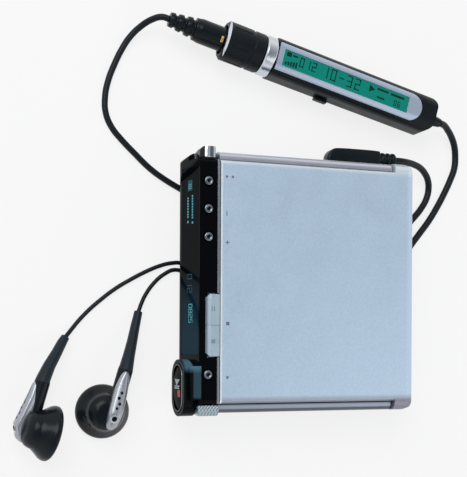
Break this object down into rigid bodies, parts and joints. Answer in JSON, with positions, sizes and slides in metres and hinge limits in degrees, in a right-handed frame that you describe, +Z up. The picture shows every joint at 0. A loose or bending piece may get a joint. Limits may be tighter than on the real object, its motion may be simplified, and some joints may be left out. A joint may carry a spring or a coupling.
{
  "type": "portable disc recorder",
  "caption": "Pocket disc recorder with hinged metal lid, edge display, keys and jacks, a stick remote control with clip and turning head, and wired earphones with wound leads.",
  "frame": {"origin": "middle of the bounding box of the player, remote control and earpieces, on the table they lie on", "axes": "+Z up from the table, +X from the player's display edge to its hinge edge, +Y towards the remote control and its plug, away from the battery door"},
  "size_m": [0.1625, 0.1448, 0.0206],
  "materials": {
    "silver_lid": "bead blasted",
    "grey_metal": "satin",
    "side_frame": "satin silver",
    "black_gloss": "high gloss",
    "silver_line": "satin",
    "chrome": "polished",
    "key_metal": "satin silver",
    "display_panel": "lit display panel",
    "green_panel": "green display panel",
    "pale_window": "clear over pale silver",
    "steel": "ground",
    "brass": "turned",
    "spring_metal": "plated",
    "board": "solder mask",
    "battery_wrap": "wrapped cell",
    "dark_plastic": "fine texture",
    "lead_sheath": "soft satin",
    "grille_grey": "perforated"
  },
  "bodies": {
    "player": {"bottom_case": "grey_metal", "mid_frame": "side_frame", "front_bezel": "black_gloss", "trim_strip": "silver_line", "display_window": "black_gloss", "oled_panel": "display_panel", "hinge_pins": "steel", "pad_housing": "black_gloss", "pad_trim": "chrome", "circuit_board": "board", "battery": "battery_wrap", "deck_plate": "grey_metal", "spindle_motor": "steel", "guide_rails": "steel", "sled_motor": "steel", "jack_sockets": "dark_plastic", "case_screws": "steel", "remote_body": "dark_plastic", "remote_window": "pale_window", "remote_lcd": "green_panel", "jog_ring": "silver_line", "phones_socket": "dark_plastic", "remote_relief": "lead_sheath", "remote_lead": "lead_sheath", "remote_coil": "lead_sheath", "plug_lead": "lead_sheath", "remote_plug": "dark_plastic", "phone_plug": "dark_plastic", "phone_lead": "lead_sheath", "phone_coil": "lead_sheath", "coil_lead": "lead_sheath", "splitter": "dark_plastic", "left_branch": "lead_sheath", "right_branch": "lead_sheath", "left_bud_shell": "dark_plastic", "right_bud_shell": "dark_plastic", "bud_sleeves": "lead_sheath", "bud_trims": "key_metal", "bud_grilles": "grille_grey"},
    "lid_with_holder": {"lid": "silver_lid", "disc_holder": "grey_metal"},
    "recording_head_arm": {"head_arm": "spring_metal"},
    "hold_slider": {"hold_slider": "silver_line"},
    "open_slider": {"open_slider": "silver_line"},
    "menu_button": {"menu_button": "chrome"},
    "volume_down_button": {"volume_down_button": "chrome"},
    "volume_up_button": {"volume_up_button": "chrome"},
    "track_mark_button": {"track_mark_button": "chrome"},
    "pause_key": {"pause_key": "key_metal"},
    "stop_key": {"stop_key": "key_metal"},
    "control_pad": {"control_pad": "black_gloss"},
    "battery_door": {"battery_door": "grey_metal"},
    "turntable": {"turntable": "steel"},
    "optical_pickup": {"optical_pickup": "dark_plastic"},
    "lead_screw": {"lead_screw": "brass"},
    "jog_dial": {"jog_dial": "dark_plastic"},
    "hold_tab": {"hold_tab": "dark_plastic"},
    "display_key": {"display_key": "dark_plastic"},
    "playmode_key": {"playmode_key": "dark_plastic"},
    "remote_clip": {"remote_clip": "dark_plastic"}
  },
  "joints": [
    {"name": "lid_hinge", "type": "hinge", "parent": "player", "child": "lid_with_holder", "pos_m": [0.05696, -0.01541, 0.0161], "axis": [0, 1, 0], "range_deg": [0, 35]},
    {"name": "head_arm_slide", "type": "slide", "parent": "lid_with_holder", "child": "recording_head_arm", "axis": [1, 0, 0], "range_m": [-0.015, 0]},
    {"name": "hold_slide", "type": "slide", "parent": "player", "child": "hold_slider", "axis": [-1, 0, 0], "range_m": [0, 0.002]},
    {"name": "open_slide", "type": "slide", "parent": "player", "child": "open_slider", "axis": [1, 0, 0], "range_m": [0, 0.0017], "stiffness_N_per_m": 300},
    {"name": "menu_press", "type": "slide", "parent": "player", "child": "menu_button", "axis": [0, 0, -1], "range_m": [0, 0.0004], "stiffness_N_per_m": 1500},
    {"name": "volume_down_press", "type": "slide", "parent": "player", "child": "volume_down_button", "axis": [0, 0, -1], "range_m": [0, 0.0004], "stiffness_N_per_m": 1500},
    {"name": "volume_up_press", "type": "slide", "parent": "player", "child": "volume_up_button", "axis": [0, 0, -1], "range_m": [0, 0.0004], "stiffness_N_per_m": 1500},
    {"name": "track_mark_press", "type": "slide", "parent": "player", "child": "track_mark_button", "axis": [0, 0, -1], "range_m": [0, 0.0004], "stiffness_N_per_m": 1500},
    {"name": "pause_press", "type": "slide", "parent": "player", "child": "pause_key", "axis": [0, 0, -1], "range_m": [0, 0.0004], "stiffness_N_per_m": 1500},
    {"name": "stop_press", "type": "slide", "parent": "player", "child": "stop_key", "axis": [0, 0, -1], "range_m": [0, 0.0004], "stiffness_N_per_m": 1500},
    {"name": "pad_press", "type": "slide", "parent": "player", "child": "control_pad", "axis": [0.9969, 0, -0.0785], "range_m": [0, 0.0004], "stiffness_N_per_m": 1500},
    {"name": "battery_door_hinge", "type": "hinge", "parent": "player", "child": "battery_door", "pos_m": [0.04421, -0.05661, 0.0076], "axis": [1, 0, 0], "range_deg": [0, 85]},
    {"name": "spindle_turn", "type": "hinge", "parent": "player", "child": "turntable", "pos_m": [0.02476, -0.01541, 0.0125], "axis": [0, 0, 1], "continuous": true},
    {"name": "pickup_slide", "type": "slide", "parent": "player", "child": "optical_pickup", "axis": [1, 0, 0], "range_m": [-0.015, 0]},
    {"name": "lead_screw_turn", "type": "hinge", "parent": "player", "child": "lead_screw", "pos_m": [0.00071, -0.00391, 0.0101], "axis": [1, 0, 0], "range_deg": [-2700, 0]},
    {"name": "jog_turn", "type": "hinge", "parent": "player", "child": "jog_dial", "pos_m": [0.00138, 0.06413, 0.0076], "axis": [0.969, -0.247, 0], "range_deg": [-25, 25], "stiffness_Nm_per_rad": 0.03},
    {"name": "hold_tab_slide", "type": "slide", "parent": "player", "child": "hold_tab", "axis": [0.969, -0.247, 0], "range_m": [0, 0.0016]},
    {"name": "display_press", "type": "slide", "parent": "player", "child": "display_key", "axis": [-0.247, -0.969, 0], "range_m": [0, 0.0004], "stiffness_N_per_m": 1500},
    {"name": "playmode_press", "type": "slide", "parent": "player", "child": "playmode_key", "axis": [-0.247, -0.969, 0], "range_m": [0, 0.0004], "stiffness_N_per_m": 1500},
    {"name": "clip_hinge", "type": "hinge", "parent": "player", "child": "remote_clip", "pos_m": [0.03908, 0.05452, 0.0023], "axis": [-0.247, -0.969, 0], "range_deg": [0, 7], "stiffness_Nm_per_rad": 0.05}
  ],
  "couplings": [
    {"joint": "lead_screw_turn", "follows": "pickup_slide", "rad_per_m": 3141.6},
    {"joint": "head_arm_slide", "follows": "pickup_slide", "ratio": 1}
  ]
}
